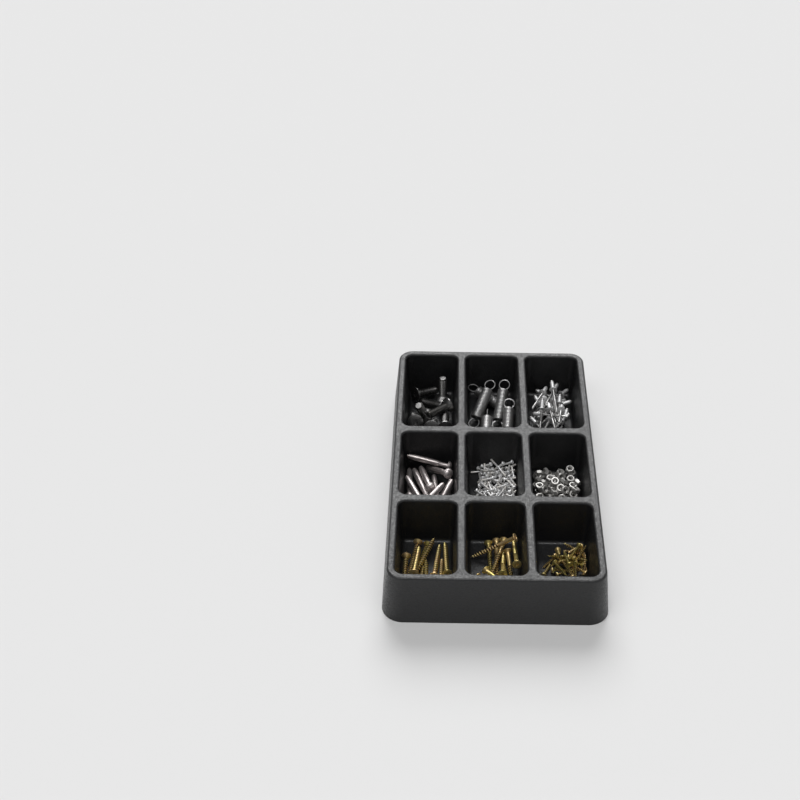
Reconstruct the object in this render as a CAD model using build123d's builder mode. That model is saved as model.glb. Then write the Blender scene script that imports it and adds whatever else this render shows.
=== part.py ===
from build123d import *
import math
import os
import random

import numpy as np

# Tray: X runs across, Y from front to back, Z up from the surface that it stands on
tray_height = 46.0
sheet = 2.0
pocket_width = 50.0
pocket_depths = (85.0, 83.0, 107.0)
column_divider = 7.4
row_divider = 8.5
side_border = 6.35
end_border = 6.5
pocket_corner = 7.0
pocket_draft = 4.5
rim_corner = 13.0
skirt_flare = 4.6
mouth_round = 2.0
floor_round = 3.0

# Countersunk bolts, back left
bolt_length = 25.0
bolt_shank = 8.0
bolt_head = 15.0
bolt_head_land = 0.8
bolt_socket = 5.0
bolt_socket_depth = 2.6
bolt_chamfer = 1.0

# Extension springs, back middle
spring_body = 31.0
spring_outer = 10.8
spring_wire = 1.0
spring_turns = 17

# Blind rivets, back right
rivet_count = 28
rivet_body = 4.0
rivet_body_length = 8.0
rivet_flange = 7.8
rivet_flange_thickness = 0.9
mandrel = 2.0
mandrel_length = 37.0
mandrel_bulb = 3.4
mandrel_bulb_length = 1.8
rivet_clearance = 0.08

# Hollow wall anchors, middle left
sleeve_outer = 5.4
sleeve_bore = 3.4
sleeve_length = 38.0
sleeve_neck = 4.4
sleeve_neck_length = 9.0
sleeve_swell = 1.5
sleeve_nose = 3.9
sleeve_nose_length = 7.0
sleeve_flange = 9.6
sleeve_flange_thickness = 0.8
sleeve_slot = 0.8
sleeve_slot_length = 20.0
anchor_screw = 3.1
anchor_screw_overrun = 1.5
anchor_head = 8.8
anchor_head_height = 2.6
anchor_slot = 1.0
anchor_slot_depth = 1.2

# Small machine screws, centre
machine_screw_count = 96
machine_screw = 2.0
machine_screw_length = 10.5
machine_head = 4.1
machine_head_height = 1.5
machine_head_round = 0.8

# Hexagon nuts, middle right
nut_count = 72
nut_flats = 7.0
nut_thickness = 3.2
nut_bore = 3.9

# Countersunk wood screws, front row; points and recesses are shares of a shank's or head's diameter
chipboard_screw = 4.2
chipboard_length = 45.0
chipboard_head = 8.4
shank_screw = 3.9
shank_screw_length = 45.0
shank_screw_head = 7.8
short_screw_count = 25
short_screw = 2.7
short_screw_length = 18.0
short_screw_head = 5.4
screw_head_land = 0.5
point_share = 1.7
recess_span_share = 0.55
recess_width_share = 0.14
recess_depth_share = 0.2

# Loose parts: the room between them, how far free and held ones sink at a step, and how settling goes on
part_gap = 0.15
drop_step = 0.3
creep_step = 0.06
grip = 0.5
overshoot = 1.9
easing_steps = 150
steps_between_searches = 6
search_margin = 1.5
rim_ball = 0.9

# Worked out from the sizes above
rim_width = 2 * side_border + 3 * pocket_width + 2 * column_divider
rim_length = 2 * end_border + sum(pocket_depths) + 2 * row_divider
column_pitch = pocket_width + column_divider
columns = (-column_pitch, 0.0, column_pitch)
row_centres = []
front_edge = -rim_length / 2 + end_border
for depth in pocket_depths:
    row_centres.append(front_edge + depth / 2)
    front_edge += depth + row_divider
skirt_draft = math.degrees(math.atan(skirt_flare / tray_height))
slope = math.tan(math.radians(pocket_draft))
rim_round = min(mouth_round, 0.45 * column_divider, 0.45 * row_divider, 0.45 * side_border)

os.makedirs("parts", exist_ok=True)


def save(piece, name):
    piece.part.label = name
    export_step(piece.part, f"parts/{name}.step")


def group(name, solid, places):
    """One node of like parts, each a solid of its own."""
    with BuildPart() as pieces:
        add([solid.moved(place) for place in places])
    save(pieces, name)


def pocket_at(column, row):
    """Centre and half sizes of a pocket's mouth; columns count from the left, rows from the front."""
    return columns[column], row_centres[row], pocket_width / 2, pocket_depths[row] / 2


def ball_row(low, high, radius, spacing=1.1):
    """Balls in a row along a part's axis, which between them hold a rod of the given radius."""
    count = max(2, math.ceil((high - low) / (spacing * radius)))
    step = (high - low) / count
    cover = math.hypot(radius, step / 2)
    return [(0.0, 0.0, low + (index + 0.5) * step, cover) for index in range(count)]


def ball_ring(height, radius, ball=rim_ball, spacing=1.25):
    """Balls round a disc's edge."""
    reach = radius - 0.7 * ball
    count = math.ceil(2 * math.pi * reach / (spacing * ball))
    turns = [2 * math.pi * index / count for index in range(count)]
    return [(reach * math.cos(turn), reach * math.sin(turn), height, ball) for turn in turns]


def ball_point(tip, shoulder, radius, count=4):
    """Balls that grow along a sharp point."""
    step = (shoulder - tip) / count
    return [(0.0, 0.0, tip + (index + 0.5) * step, radius * (index + 1) / count) for index in range(count)]


def frame_of(head, tip):
    """Turning matrix whose third column points from tip to head, and whose first lies level."""
    axis = np.subtract(head, tip).astype(float)
    axis /= np.linalg.norm(axis)
    side = np.cross((0.0, 0.0, 1.0) if abs(axis[2]) < 0.9 else (0.0, 1.0, 0.0), axis)
    side /= np.linalg.norm(side)
    return np.column_stack((side, np.cross(axis, side), axis))


def laid(pocket, head, tip, roll=0.0):
    """Start of a part laid by hand: where its head is and where its tip points, measured in the pocket."""
    origin = np.array((pocket[0] + head[0], pocket[1] + head[1], head[2]))
    side, rise, axis = frame_of(head, tip).T
    turn = math.radians(roll)
    rolled = math.cos(turn) * side + math.sin(turn) * rise
    return origin, np.column_stack((rolled, np.cross(axis, rolled), axis))


def poured(pocket, count, centre, cells, pitch, lift, tilt, middle, seed, headings=(0, 360)):
    """Starts of parts that fall in loose layers, with so many cells across and along, pitch apart.

    middle is how far a part's middle lies below its head, tilt the steepest that it may start, and
    headings the directions that its head may point in.
    """
    draw = random.Random(seed)
    across, along = cells
    starts = []
    for index in range(count):
        layer, cell = divmod(index, across * along)
        if cell == 0:
            drift = draw.uniform(-0.5, 0.5), draw.uniform(-0.5, 0.5)
        x = centre[0] + (cell % across - (across - 1) / 2 + drift[0] + draw.uniform(-0.1, 0.1)) * pitch
        y = centre[1] + (cell // across - (along - 1) / 2 + drift[1] + draw.uniform(-0.1, 0.1)) * pitch
        heading = math.radians(draw.uniform(*headings))
        lean = draw.uniform(-tilt, tilt)
        aim = (math.cos(heading) * math.cos(lean), math.sin(heading) * math.cos(lean), math.sin(lean))
        matrix = frame_of(aim, (0, 0, 0))
        place = np.array((pocket[0] + x, pocket[1] + y, sheet + lift * (layer + 1)))
        starts.append((place + middle * matrix[:, 2], matrix))
    return starts


def turned(rotations, vectors):
    """Turning matrices turned on by small rotation vectors."""
    angle = np.linalg.norm(vectors, axis=1)[:, None] + 1e-12
    x, y, z = (vectors / angle).T
    zero = np.zeros_like(x)
    cross = np.array([[zero, -z, y], [z, zero, -x], [-y, x, zero]]).transpose(2, 0, 1)
    angle = angle[:, :, None]
    return (np.eye(3) + np.sin(angle) * cross + (1 - np.cos(angle)) * cross @ cross) @ rotations


def settle(pocket, balls, starts, drops):
    """Drop like parts into a pocket until they lie on each other, and give each one's place.

    balls hold one part between them: x, y, z in the part's own frame, and radius. starts are origins and
    turning matrices. The parts first fall, held back by their grip on each other, and then ease apart until
    none touches another or the pocket.
    """
    shape = np.array(balls)[:, :3]
    radius = np.array(balls)[:, 3]
    middle = shape.mean(axis=0)
    arm = shape - middle
    spin = (arm ** 2).sum(axis=1).mean()
    span = np.linalg.norm(arm, axis=1).max() + radius.max()
    count, each = len(starts), len(balls)
    rotation = np.array([start[1] for start in starts])
    centre = np.array([start[0] for start in starts]) + rotation @ middle
    half = np.array(pocket[2:]) - pocket_corner
    all_radius = np.tile(radius, count)
    tuck_rise = np.maximum(floor_round - all_radius, 0.0)
    owner = np.repeat(np.arange(count), each)
    body_one, body_two = np.triu_indices(count, 1)
    ball_one, ball_two = (index.ravel() for index in np.indices((each, each)))
    pair_reach = radius[ball_one] + radius[ball_two] + part_gap
    held = np.zeros(count, dtype=bool)
    for step in range(drops + easing_steps):
        falling = step < drops
        if falling:
            centre[:, 2] -= np.where(held, creep_step, drop_step)
        points = (centre[:, None] + np.einsum("nij,kj->nki", rotation, arm)).reshape(-1, 3)
        if step % steps_between_searches == 0:
            between = np.linalg.norm(centre[body_one] - centre[body_two], axis=1)
            close = between < 2 * span + search_margin
            near_one = (body_one[close][:, None] * each + ball_one).ravel()
            near_two = (body_two[close][:, None] * each + ball_two).ravel()
            near_reach = np.tile(pair_reach, close.sum())
            apart = points[near_one] - points[near_two]
            near = np.einsum("ij,ij->i", apart, apart) < (near_reach + search_margin) ** 2
            near_one, near_two, near_reach = near_one[near], near_two[near], near_reach[near]
        apart = points[near_one] - points[near_two]
        distance = np.linalg.norm(apart, axis=1) + 1e-9
        hit = distance < near_reach
        one, two = near_one[hit], near_two[hit]
        depth = near_reach[hit] - distance[hit]
        normal = apart[hit] / distance[hit][:, None]
        # How far each ball stands past the walls, which lean in and are rounded at the corners and the floor
        flat = points[:, :2] - np.array(pocket[:2])
        past = np.abs(flat) - half
        outside = np.maximum(past, 0.0)
        length = np.linalg.norm(outside, axis=1)
        corner = pocket_corner - (tray_height - points[:, 2]) * slope
        rise = np.clip(floor_round - (points[:, 2] - sheet), 0.0, tuck_rise)
        tuck = all_radius + tuck_rise - np.sqrt(tuck_rise ** 2 - rise ** 2)
        wall_depth = length + np.minimum(past.max(axis=1), 0.0) - corner + tuck + part_gap
        wall_hit = wall_depth > 0
        nearest_side = past == past.max(axis=1)[:, None]
        toward = np.where(length[:, None] > 0, outside / (length[:, None] + 1e-9), nearest_side)
        wall_push = np.column_stack((-np.sign(flat) * toward, np.full(len(points), slope)))
        floor_depth = sheet + all_radius + part_gap - points[:, 2]
        floor_hit = floor_depth > 0
        worst = max(depth.max(initial=0.0), wall_depth.max(), floor_depth.max())
        if not falling and worst < 0.4 * part_gap:
            break
        # Each contact moves and turns the parts that it touches, the deepest ones most
        who = np.concatenate((owner[one], owner[two], owner[wall_hit], owner[floor_hit]))
        spot = np.concatenate((points[one], points[two], points[wall_hit], points[floor_hit]))
        up = np.tile((0.0, 0.0, 1.0), (floor_hit.sum(), 1))
        push = np.concatenate((normal, -normal, wall_push[wall_hit], up))
        lever = np.cross(spot - centre[who], push)
        ease = 1.0 + np.einsum("ij,ij->i", lever, lever) / spin
        pairs = len(one)
        shared = np.tile(ease[:pairs] + ease[pairs:2 * pairs], 2)
        amount = np.concatenate((depth, depth, wall_depth[wall_hit], floor_depth[floor_hit]))
        amount /= np.concatenate((shared, ease[2 * pairs:]))
        weight = amount ** 2 + 1e-6
        pull = amount * weight
        moves = np.column_stack([np.bincount(who, push[:, axis] * pull, count) for axis in range(3)])
        turns = np.column_stack([np.bincount(who, lever[:, axis] * pull, count) for axis in range(3)])
        share = overshoot / np.maximum(np.bincount(who, weight, count), 1e-9)[:, None]
        moves = moves * share
        turns = turns * share / spin
        if falling:
            sideways = np.linalg.norm(moves[:, :2], axis=1) + 1e-9
            moves[:, :2] *= np.clip(1.0 - grip * np.abs(moves[:, 2]) / sideways, 0.0, 1.0)[:, None]
        centre += moves
        rotation = turned(rotation, turns)
        held = np.bincount(who, push[:, 2] > 0.3, count) > 0
    places = []
    for place, matrix in zip(centre - rotation @ middle, rotation):
        places.append(Plane(tuple(place), x_dir=tuple(matrix[:, 0]), z_dir=tuple(matrix[:, 2])).location)
    print(f"{count} parts settled in {step + 1} steps, {part_gap - worst:.3f} mm apart or more")
    return places


# Tray: a skirted moulding, hollow beneath, whose nine pockets are cups that stand on the base
foot_width = rim_width + 2 * skirt_flare
foot_length = rim_length + 2 * skirt_flare
foot_corner = rim_corner + skirt_flare
with BuildPart() as tray:
    with BuildSketch():
        RectangleRounded(foot_width, foot_length, foot_corner)
    extrude(amount=tray_height, taper=skirt_draft)
    with BuildSketch():
        RectangleRounded(foot_width - 2 * sheet, foot_length - 2 * sheet, foot_corner - sheet)
    extrude(amount=tray_height - sheet, taper=skirt_draft, mode=Mode.SUBTRACT)
    for row, depth in zip(row_centres, pocket_depths):
        with BuildSketch(Plane.XY.offset(tray_height - sheet / 2)):
            with Locations(*[(x, row) for x in columns]):
                RectangleRounded(pocket_width + 2 * sheet, depth + 2 * sheet, pocket_corner + sheet)
        extrude(amount=-(tray_height - sheet / 2), taper=pocket_draft)
    for row, depth in zip(row_centres, pocket_depths):
        with BuildSketch(Plane.XY.offset(tray_height)):
            with Locations(*[(x, row) for x in columns]):
                RectangleRounded(pocket_width, depth, pocket_corner)
        extrude(amount=-(tray_height - sheet), taper=pocket_draft, mode=Mode.SUBTRACT)
    fillet(tray.edges().filter_by_position(Axis.Z, sheet - 0.01, sheet + 0.01), floor_round)
    fillet(tray.faces().sort_by(Axis.Z)[-1].edges(), rim_round)
save(tray, "tray")

# Countersunk bolt with a hexagon socket. Every loose part lies along Z with its head's top at zero
bolt_neck = bolt_head_land + (bolt_head - bolt_shank) / 2
with BuildPart() as bolt:
    with BuildSketch(Plane.XZ):
        with BuildLine():
            Polyline((0, 0), (bolt_head / 2, 0), (bolt_head / 2, -bolt_head_land),
                     (bolt_shank / 2, -bolt_neck), (bolt_shank / 2, -bolt_length + bolt_chamfer),
                     (bolt_shank / 2 - bolt_chamfer, -bolt_length), (0, -bolt_length), close=True)
        make_face()
    revolve(axis=Axis.Z)
    with BuildSketch():
        RegularPolygon(radius=bolt_socket / 2, side_count=6, major_radius=False)
    extrude(amount=-bolt_socket_depth, mode=Mode.SUBTRACT)
bolt_balls = ball_row(-bolt_length, -bolt_head_land, bolt_shank / 2)
bolt_balls += ball_ring(-bolt_head_land / 2, bolt_head / 2)
for share in (0.35, 0.7):
    narrowing = share * (bolt_head - bolt_shank) / 2
    bolt_balls += ball_ring(-bolt_head_land - narrowing, bolt_head / 2 - narrowing)
bolt_pocket = pocket_at(0, 2)
bolt_starts = [laid(bolt_pocket, head, tip) for head, tip in (
    ((11, 39, 2), (11, 39, 27)),
    ((-16, 33, 18), (6, 45, 12)),
    ((12, 18, 9), (-10, 31, 9)),
    ((19, 13, 22), (0, -1, 18)),
    ((-5, 9, 4), (-8, -12, 15)),
    ((-14, -13, 21), (-13, 6, 6)),
    ((1, -22, 20), (3, -2, 5)),
    ((16, -14, 12), (14, 10, 6)),
)]
group("countersunk_bolts", bolt.part, settle(bolt_pocket, bolt_balls, bolt_starts, 25))

# Extension spring: open coils, and at each end a full loop that stands over the middle of the coil
spring_reach = (spring_outer - spring_wire) / 2
coil_top = spring_body / 2
loop_centre = coil_top + spring_wire + spring_reach
climb = spring_body / spring_turns / (2 * math.pi * spring_reach)


def on_loop(degrees):
    """Place and heading of the wire on the upper end loop, which runs clockwise as seen along +Y."""
    turn = math.radians(degrees)
    place = (spring_reach * math.cos(turn), 0.0, loop_centre + spring_reach * math.sin(turn))
    return place, (math.sin(turn), 0.0, -math.cos(turn))


def at_lower_end(node):
    """The same node at the lower end, where the wire runs the other way."""
    (x, y, z), (along, across, up) = node
    return (x, -y, -z), (-along, across, up)


crossing = ((0.0, 0.55 * spring_reach, coil_top + 0.6 * spring_wire), (-1.0, -0.35, 0.25))
upper_end = [crossing, on_loop(-135), on_loop(135), on_loop(45), on_loop(-60)]
spring_nodes = [at_lower_end(node) for node in reversed(upper_end)]
for half_turn in range(2 * spring_turns + 1):
    side = (-1) ** half_turn
    height = -coil_top + spring_body * half_turn / (2 * spring_turns)
    spring_nodes.append(((side * spring_reach, 0.0, height), (0.0, side, climb)))
spring_nodes += upper_end
with BuildPart() as spring:
    with BuildLine() as wire_line:
        for (start, start_way), (end, end_way) in zip(spring_nodes, spring_nodes[1:]):
            # Two arcs that meet midway, each tangent to the wire at its own end
            chord = Vector(end) - Vector(start)
            leave = Vector(start_way).normalized()
            arrive = Vector(end_way).normalized()
            bend = 2 * (1 - leave.dot(arrive))
            slant = chord.dot(leave + arrive)
            reach = (math.sqrt(slant ** 2 + bend * chord.length ** 2) - slant) / bend
            joint = (Vector(start) + leave * reach + Vector(end) - arrive * reach) * 0.5
            first_arc = TangentArc(start, joint, tangent=leave)
            TangentArc(joint, end, tangent=first_arc % 1)
    spring_path = wire_line.wire()
    with BuildSketch(Plane(spring_path @ 0, z_dir=spring_path % 0)):
        Circle(spring_wire / 2)
    sweep(path=spring_path)
station_count = 3000
stations = np.array([tuple(spring_path @ (index / station_count)) for index in range(station_count + 1)])
skip = int(3 * spring_wire * station_count / spring_path.length)
least_gap = min(np.linalg.norm(stations[skip + index:] - stations[index], axis=1).min()
                for index in range(len(stations) - skip)) - spring_wire
straight_volume = spring_path.length * math.pi * spring_wire ** 2 / 4
print(f"spring: {spring_path.length:.0f} mm of wire, least gap to itself {least_gap:.2f} mm,",
      f"volume over section times length {spring.part.volume / straight_volume:.4f}")
spring_balls = ball_row(-coil_top - spring_wire / 2, coil_top + spring_wire / 2, spring_outer / 2)
for x, y, height, ball in ball_ring(0.0, spring_outer / 2, spacing=2.0):
    spring_balls.append((x, 0.0, loop_centre + y, ball))
    spring_balls.append((x, 0.0, -loop_centre - y, ball))
spring_pocket = pocket_at(1, 2)
spring_starts = []
for top, bottom, roll in (
    ((-0.4, 27.5, 17), (-15.5, 2, 7.6), 0),
    ((13.6, 30, 12), (6.5, -1, 7.6), 0),
    ((16.2, 7, 12), (16.2, -24, 7.6), 0),
    ((-4.6, 4, 8), (-4.8, -27, 7.6), 90),
    ((-15, 46, 8), (10, 33, 7.6), 0),
):
    place, matrix = laid(spring_pocket, top, bottom, roll)
    spring_starts.append((place - matrix[:, 2] * coil_top, matrix))
for number, place in enumerate(settle(spring_pocket, spring_balls, spring_starts, 10), 1):
    group(f"extension_spring_{number}", spring.part, [place])

# Blind rivet: a flanged tube on a mandrel, whose bulb closes its far end and whose stem stands out in front
rivet_bore = mandrel + 2 * rivet_clearance
rivet_end = -rivet_flange_thickness - rivet_body_length
with BuildPart() as rivet_tube:
    with BuildSketch(Plane.XZ):
        with BuildLine():
            Polyline((rivet_bore / 2, 0), (rivet_flange / 2 - rivet_flange_thickness, 0),
                     (rivet_flange / 2, -rivet_flange_thickness / 2),
                     (rivet_flange / 2, -rivet_flange_thickness),
                     (rivet_body / 2, -rivet_flange_thickness), (rivet_body / 2, rivet_end),
                     (rivet_bore / 2, rivet_end), close=True)
        make_face()
    revolve(axis=Axis.Z)
bulb_top = rivet_end - rivet_clearance
bulb_end = bulb_top - mandrel_bulb_length
stem_end = bulb_end + mandrel_length
with BuildPart() as mandrel_pin:
    with BuildSketch(Plane.XZ):
        with BuildLine():
            Polyline((0, bulb_end), (mandrel / 2, bulb_end),
                     (mandrel_bulb / 2, bulb_end + (mandrel_bulb - mandrel) / 2),
                     (mandrel_bulb / 2, bulb_top), (mandrel / 2, bulb_top), (mandrel / 2, stem_end),
                     (0, stem_end), close=True)
        make_face()
    revolve(axis=Axis.Z)
rivet_balls = ball_row(rivet_end, 0, rivet_body / 2)
rivet_balls += ball_ring(-rivet_flange_thickness / 2, rivet_flange / 2, 0.8 * rim_ball)
rivet_balls += ball_row(0, stem_end, mandrel / 2, 1.6)
rivet_balls += ball_row(bulb_end, bulb_top, mandrel_bulb / 2)
rivet_pocket = pocket_at(2, 2)
rivet_starts = poured(rivet_pocket, rivet_count, centre=(-4, 8), cells=(1, 2), pitch=25, lift=5.5, tilt=0.6,
                      middle=-stem_end / 3, seed=3, headings=(-150, -30))
rivet_places = settle(rivet_pocket, rivet_balls, rivet_starts, 340)
group("rivet_bodies", rivet_tube.part, rivet_places)
group("rivet_mandrels", mandrel_pin.part, rivet_places)

# Hollow wall anchor: a flanged sleeve, slit along its belly, and the slotted screw that draws it up
anchor_gap = (sleeve_bore - anchor_screw) / 2
flange_top = -anchor_head_height - anchor_gap
neck_end = flange_top - sleeve_neck_length
sleeve_end = flange_top - sleeve_length
with BuildPart() as anchor_sleeve:
    with BuildSketch(Plane.XZ):
        with BuildLine():
            Polyline((sleeve_bore / 2, flange_top), (sleeve_flange / 2, flange_top),
                     (sleeve_flange / 2, flange_top - sleeve_flange_thickness),
                     (sleeve_neck / 2, flange_top - sleeve_flange_thickness), (sleeve_neck / 2, neck_end),
                     (sleeve_outer / 2, neck_end - sleeve_swell),
                     (sleeve_outer / 2, sleeve_end + sleeve_nose_length), (sleeve_nose / 2, sleeve_end),
                     (sleeve_bore / 2, sleeve_end), close=True)
        make_face()
    revolve(axis=Axis.Z)
    for angle in (0, 90):
        with BuildSketch(Plane.XY.offset(neck_end)):
            Rectangle(2 * sleeve_outer, sleeve_slot, rotation=angle)
        extrude(amount=-sleeve_slot_length, mode=Mode.SUBTRACT)
anchor_end = sleeve_end - anchor_screw_overrun
with BuildPart() as anchor_bolt:
    with BuildSketch(Plane.XZ):
        with BuildLine():
            TangentArc((0, 0), (anchor_head / 2, -anchor_head_height), tangent=(1, 0))
            Polyline((anchor_head / 2, -anchor_head_height), (anchor_screw / 2, -anchor_head_height),
                     (anchor_screw / 2, anchor_end), (0, anchor_end), (0, 0))
        make_face()
    revolve(axis=Axis.Z)
    with BuildSketch():
        Rectangle(2 * anchor_head, anchor_slot)
    extrude(amount=-anchor_slot_depth, mode=Mode.SUBTRACT)
anchor_balls = ball_row(sleeve_end, 0, sleeve_outer / 2) + ball_row(anchor_end, sleeve_end, anchor_screw / 2)
anchor_balls += ball_ring(-anchor_head_height / 2, anchor_head / 2) + ball_ring(flange_top, sleeve_flange / 2)
anchor_pocket = pocket_at(0, 1)
anchor_starts = [laid(anchor_pocket, head, tip) for head, tip in (
    ((20, 26, 18), (-20, 32, 18)),
    ((19, 4, 26), (-3, 33, 9)),
    ((-18, -6, 9), (-19, 36, 9)),
    ((-1, -13, 14), (-15, 26, 14)),
    ((0, -22, 14), (-17, 16, 14)),
    ((1, -11, 18), (-7, 28, 14)),
    ((6, -20, 12), (-1, 20, 14)),
    ((-12, -38, 20), (10, -4, 22)),
    ((3, -32, 14), (18, 5, 16)),
    ((10, -28, 6), (6.5, 8, 20)),
)]
anchor_places = settle(anchor_pocket, anchor_balls, anchor_starts, 20)
group("anchor_sleeves", anchor_sleeve.part, anchor_places)
group("anchor_screws", anchor_bolt.part, anchor_places)

# Machine screw with a pan head
machine_end = -machine_head_height - machine_screw_length
with BuildPart() as pan_screw:
    with BuildSketch(Plane.XZ) as pan_profile:
        with BuildLine():
            Polyline((0, 0), (machine_head / 2, 0), (machine_head / 2, -machine_head_height),
                     (machine_screw / 2, -machine_head_height), (machine_screw / 2, machine_end),
                     (0, machine_end), close=True)
        make_face()
        fillet(pan_profile.vertices().group_by(Axis.Y)[-1].sort_by(Axis.X)[-1], machine_head_round)
    revolve(axis=Axis.Z)
pan_balls = ball_row(machine_end, 0, machine_screw / 2)
pan_balls += ball_ring(-machine_head_height / 2, machine_head / 2, 1.2 * rim_ball)
machine_pocket = pocket_at(1, 1)
machine_starts = poured(machine_pocket, machine_screw_count, centre=(3, 13), cells=(3, 5), pitch=10.5, lift=6,
                        tilt=0.8, middle=machine_screw_length / 2, seed=21)
group("machine_screws", pan_screw.part, settle(machine_pocket, pan_balls, machine_starts, 220))

# Hexagon nut
with BuildPart() as nut:
    with BuildSketch(Plane.XY.offset(-nut_thickness)):
        RegularPolygon(radius=nut_flats / 2, side_count=6, major_radius=False)
        Circle(nut_bore / 2, mode=Mode.SUBTRACT)
    extrude(amount=nut_thickness)
nut_ball = 0.34 * nut_thickness
nut_balls = ball_ring(-nut_thickness / 2, nut_flats / 2 - 0.1 * nut_thickness, nut_thickness / 2)
for index in range(12):
    turn = math.pi * index / 6
    reach = (nut_flats / 2 if index % 2 else nut_flats / math.sqrt(3)) - 0.7 * nut_ball
    for height in (-0.7 * nut_ball, -nut_thickness + 0.7 * nut_ball):
        nut_balls.append((reach * math.cos(turn), reach * math.sin(turn), height, nut_ball))
nut_pocket = pocket_at(2, 1)
nut_starts = poured(nut_pocket, nut_count, centre=(1, 11), cells=(4, 4), pitch=9.4, lift=8.5, tilt=2.3,
                    middle=nut_thickness / 2, seed=8)
group("hex_nuts", nut.part, settle(nut_pocket, nut_balls, nut_starts, 280))


def wood_screw(length, diameter, head):
    """Countersunk screw with a cross recess and a sharp point, and the balls that hold it."""
    neck = screw_head_land + (head - diameter) / 2
    shoulder = -length + point_share * diameter
    with BuildPart() as screw:
        with BuildSketch(Plane.XZ):
            with BuildLine():
                Polyline((0, 0), (head / 2, 0), (head / 2, -screw_head_land), (diameter / 2, -neck),
                         (diameter / 2, shoulder), (0, -length), close=True)
            make_face()
        revolve(axis=Axis.Z)
        with BuildSketch():
            Rectangle(recess_span_share * head, recess_width_share * head)
            Rectangle(recess_width_share * head, recess_span_share * head)
        extrude(amount=-recess_depth_share * head, mode=Mode.SUBTRACT)
    balls = ball_row(shoulder, 0, diameter / 2) + ball_point(-length, shoulder, diameter / 2)
    balls += ball_ring(-screw_head_land / 2, head / 2) + ball_ring(-neck / 2, (head + diameter) / 4)
    return screw.part, balls


# Fully threaded wood screws
chipboard, chipboard_balls = wood_screw(chipboard_length, chipboard_screw, chipboard_head)
chipboard_pocket = pocket_at(0, 0)
chipboard_starts = [laid(chipboard_pocket, head, tip) for head, tip in (
    ((-7, 32, 10), (-12, -12, 8)),
    ((0, 30, 9), (-8, -13, 10)),
    ((-9, -10, 12), (10, 31, 8)),
    ((-16, 14, 11), (-18, -31, 8)),
    ((6, -11, 8), (12, 34, 5)),
    ((15, -9, 7), (16, 36, 5)),
    ((1, -34, 8), (6, 10, 8)),
    ((-5, -38, 9), (1, 5, 9)),
    ((-10, -18, 20), (-6, 24, 5)),
    ((12, -28, 6), (13, 17, 5)),
)]
group("chipboard_screws", chipboard, settle(chipboard_pocket, chipboard_balls, chipboard_starts, 20))

# Wood screws with a plain shank
shank, shank_balls = wood_screw(shank_screw_length, shank_screw, shank_screw_head)
shank_pocket = pocket_at(1, 0)
shank_starts = [laid(shank_pocket, head, tip) for head, tip in (
    ((16, 18, 31), (-21, 18, 7)),
    ((-5, 33, 10), (-1, -12, 6)),
    ((2.5, 36, 8), (1, -9, 6)),
    ((9, 32, 14), (-4, -11, 12)),
    ((6, -14, 20), (8, 27, 8)),
    ((12, 19, 15), (14, -26, 8)),
    ((18, -8, 26), (15, 34, 12)),
    ((-14, -8, 10), (18, -38, 6)),
    ((-7, -5, 14), (21, -37, 10)),
    ((10, -36, 8), (9, 9, 5)),
)]
group("shank_screws", shank, settle(shank_pocket, shank_balls, shank_starts, 15))

# Short wood screws, most of them poured and three laid apart
short, short_balls = wood_screw(short_screw_length, short_screw, short_screw_head)
short_pocket = pocket_at(2, 0)
short_starts = poured(short_pocket, short_screw_count, centre=(7, 8), cells=(2, 2), pitch=13, lift=6, tilt=0.5,
                      middle=short_screw_length / 2, seed=11)
short_starts += [laid(short_pocket, head, tip) for head, tip in (
    ((-1, 16, 9), (-16, 12, 4)),
    ((-16, -4, 5), (-11, 12, 3.5)),
    ((14.5, 27, 24), (10, 18, 14)),
)]
group("short_screws", short, settle(short_pocket, short_balls, short_starts, 150))
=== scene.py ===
import math
import random

import bmesh
import bpy
import numpy as np
from mathutils import Matrix, Vector


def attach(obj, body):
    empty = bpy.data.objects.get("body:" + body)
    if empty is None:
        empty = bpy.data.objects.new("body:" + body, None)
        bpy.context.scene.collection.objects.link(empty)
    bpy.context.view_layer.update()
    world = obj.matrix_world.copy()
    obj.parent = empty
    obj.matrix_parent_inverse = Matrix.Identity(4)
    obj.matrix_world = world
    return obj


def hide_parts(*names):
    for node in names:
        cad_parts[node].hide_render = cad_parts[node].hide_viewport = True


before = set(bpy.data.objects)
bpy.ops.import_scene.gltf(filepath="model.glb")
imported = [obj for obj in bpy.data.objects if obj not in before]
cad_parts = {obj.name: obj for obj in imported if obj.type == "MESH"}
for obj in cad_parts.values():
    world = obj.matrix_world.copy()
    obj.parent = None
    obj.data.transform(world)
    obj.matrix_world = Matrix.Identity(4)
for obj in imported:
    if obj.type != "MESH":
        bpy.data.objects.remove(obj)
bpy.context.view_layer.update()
MM = 0.001

# Camera of the photograph, as measured from the tray's edges
CAMERA_PLACE = (-41.9 * MM, -893 * MM, 821.6 * MM)
CAMERA_LENS = 60.1
CAMERA_DIP = math.radians(38.67)
CAMERA_ROLL = math.radians(0.88)
CAMERA_SHIFT = -0.0593

# Sky: the light that it gives all round, and how bright it looks behind the floor
SKY_LIGHT = 0.14
SKY_BEHIND = 0.8

# Countersunk bolts
BOLT_LAND = 0.8 * MM
BOLT_CORE = 3.45 * MM
BOLT_CREST = 4.0 * MM
BOLT_PITCH = 1.25 * MM
BOLT_SOCKET = 5.0 * MM
BOLT_SOCKET_DEPTH = 2.6 * MM

# Extension springs; the loops in degrees
SPRING_WIRE = 1.0 * MM
SPRING_COIL = 31.0 * MM
SPRING_TURNS = 31
SPRING_STEPS = 22
SPRING_LOOP_STEPS = 30
SPRING_LOOP_START = -135
SPRING_LOOP_SWEEP = 285

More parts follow.
